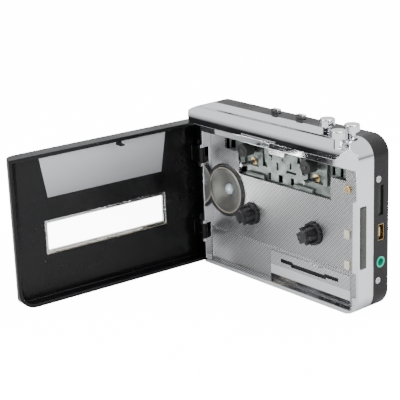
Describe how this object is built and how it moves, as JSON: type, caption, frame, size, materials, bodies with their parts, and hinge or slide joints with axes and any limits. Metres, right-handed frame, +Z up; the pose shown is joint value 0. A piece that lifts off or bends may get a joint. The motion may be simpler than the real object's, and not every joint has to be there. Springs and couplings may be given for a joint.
{
  "type": "portable cassette player",
  "caption": "Portable cassette player with a chromed front frame, black back shell and hinged windowed door, shown open on its tape deck.",
  "frame": {"origin": "middle of the closed casing's footprint, on the surface it stands on", "axes": "+X right seen from the front, +Y to the back, +Z up"},
  "size_m": [0.1247, 0.1266, 0.0878],
  "materials": {
    "chrome": "bright plated",
    "black_shell": "satin moulded",
    "door_black": "gloss moulded",
    "window_clear": "clear",
    "window_silver": "silvered",
    "zinc_steel": "zinc plated",
    "bright_steel": "ground",
    "brass": "turned",
    "spindle_black": "moulded",
    "gear_white": "moulded",
    "rubber_black": "matte",
    "speaker_grey": "spun",
    "magnet_dark": "sintered",
    "board_green": "solder mask",
    "jack_green": "moulded",
    "cell_wrap": "sleeve",
    "pad_ivory": "soft",
    "volume_grey": "knurled"
  },
  "bodies": {
    "root": {"rear_shell": "black_shell", "front_frame": "chrome", "well_floor": "chrome", "well_pads": "pad_ivory", "floor_screw": "brass", "deck_screws": "zinc_steel", "side_screws": "bright_steel", "battery_left": "cell_wrap", "battery_right": "cell_wrap", "battery_contacts": "zinc_steel", "hinge_pins": "bright_steel", "mechanism_plate": "zinc_steel", "capstan_bushes": "brass", "flywheel_bracket": "zinc_steel", "drive_belt": "rubber_black", "motor": "zinc_steel", "speaker_frame": "speaker_grey", "speaker_cone": "speaker_grey", "speaker_magnet": "magnet_dark", "circuit_board": "board_green", "usb_socket": "brass", "card_socket": "zinc_steel", "headphone_jack": "jack_green"},
    "door": {"door_shell": "door_black", "door_window": "window_clear", "door_panel": "window_silver"},
    "hatch": {"battery_cover": "chrome"},
    "play_key": {"play_button": "chrome"},
    "forward_key": {"forward_button": "chrome"},
    "stop_key": {"stop_button": "chrome"},
    "direction_slide": {"direction_switch": "chrome"},
    "mode_slide": {"mode_switch": "chrome"},
    "volume": {"volume_roller": "volume_grey"},
    "motor_shaft": {"motor_pulley": "brass"},
    "left_flywheel": {"flywheel_left": "bright_steel"},
    "right_flywheel": {"flywheel_right": "bright_steel"},
    "idler": {"idler_gear": "gear_white"},
    "take_up_reel": {"take_up_spindle": "spindle_black", "take_up_gear": "gear_white"},
    "supply_reel": {"supply_spindle": "spindle_black", "supply_clip": "gear_white"},
    "head_carriage": {"head_bridge": "zinc_steel", "tape_head": "bright_steel", "pinch_arms": "spindle_black"},
    "left_pinch": {"pinch_roller_left": "rubber_black"},
    "right_pinch": {"pinch_roller_right": "rubber_black"}
  },
  "joints": [
    {"name": "door_hinge", "type": "hinge", "parent": "root", "child": "door", "pos_m": [-0.0493, -0.0062, 0.037], "axis": [0, 0, -1], "range_deg": [-95, 0]},
    {"name": "hatch_hinge", "type": "hinge", "parent": "root", "child": "hatch", "pos_m": [0.0228, -0.0018, 0.0028], "axis": [1, 0, 0], "range_deg": [0, 85]},
    {"name": "play_press", "type": "slide", "parent": "root", "child": "play_key", "axis": [0, 0, -1], "range_m": [0, 0.0013], "stiffness_N_per_m": 400},
    {"name": "forward_press", "type": "slide", "parent": "root", "child": "forward_key", "axis": [0, 0, -1], "range_m": [0, 0.0013], "stiffness_N_per_m": 400},
    {"name": "stop_press", "type": "slide", "parent": "root", "child": "stop_key", "axis": [0, 0, -1], "range_m": [0, 0.0013], "stiffness_N_per_m": 400},
    {"name": "direction_shift", "type": "slide", "parent": "root", "child": "direction_slide", "axis": [1, 0, 0], "range_m": [-0.0015, 0.0015]},
    {"name": "mode_shift", "type": "slide", "parent": "root", "child": "mode_slide", "axis": [1, 0, 0], "range_m": [-0.0015, 0.0015]},
    {"name": "volume_turn", "type": "hinge", "parent": "root", "child": "volume", "pos_m": [0.05615, -0.0037, 0.0378], "axis": [0, 0, 1], "range_deg": [-150, 150]},
    {"name": "motor_spin", "type": "hinge", "parent": "root", "child": "motor_shaft", "pos_m": [0.0028, 0.005, 0.036], "axis": [0, 1, 0], "continuous": true},
    {"name": "left_flywheel_spin", "type": "hinge", "parent": "root", "child": "left_flywheel", "pos_m": [-0.01845, 0.004, 0.0577], "axis": [0, 1, 0], "continuous": true},
    {"name": "right_flywheel_spin", "type": "hinge", "parent": "root", "child": "right_flywheel", "pos_m": [0.02405, 0.004, 0.0577], "axis": [0, 1, 0], "continuous": true},
    {"name": "idler_spin", "type": "hinge", "parent": "root", "child": "idler", "pos_m": [0.02405, 0.0027, 0.04515], "axis": [0, 1, 0], "continuous": true},
    {"name": "take_up_spin", "type": "hinge", "parent": "root", "child": "take_up_reel", "pos_m": [0.02405, 0, 0.0316], "axis": [0, 1, 0], "continuous": true},
    {"name": "supply_spin", "type": "hinge", "parent": "root", "child": "supply_reel", "pos_m": [-0.01845, 0, 0.0316], "axis": [0, 1, 0], "continuous": true},
    {"name": "head_slide", "type": "slide", "parent": "root", "child": "head_carriage", "axis": [0, 0, -1], "range_m": [0, 0.0024]},
    {"name": "left_pinch_spin", "type": "hinge", "parent": "head_carriage", "child": "left_pinch", "pos_m": [-0.01845, -0.004, 0.0646], "axis": [0, 1, 0], "continuous": true},
    {"name": "right_pinch_spin", "type": "hinge", "parent": "head_carriage", "child": "right_pinch", "pos_m": [0.02405, -0.004, 0.0646], "axis": [0, 1, 0], "continuous": true}
  ],
  "couplings": [
    {"joint": "head_slide", "follows": "play_press", "ratio": 1.8462},
    {"joint": "left_flywheel_spin", "follows": "motor_spin", "ratio": 0.2451},
    {"joint": "right_flywheel_spin", "follows": "motor_spin", "ratio": 0.2451},
    {"joint": "idler_spin", "follows": "motor_spin", "ratio": -0.11534},
    {"joint": "take_up_spin", "follows": "motor_spin", "ratio": 0.19608}
  ]
}
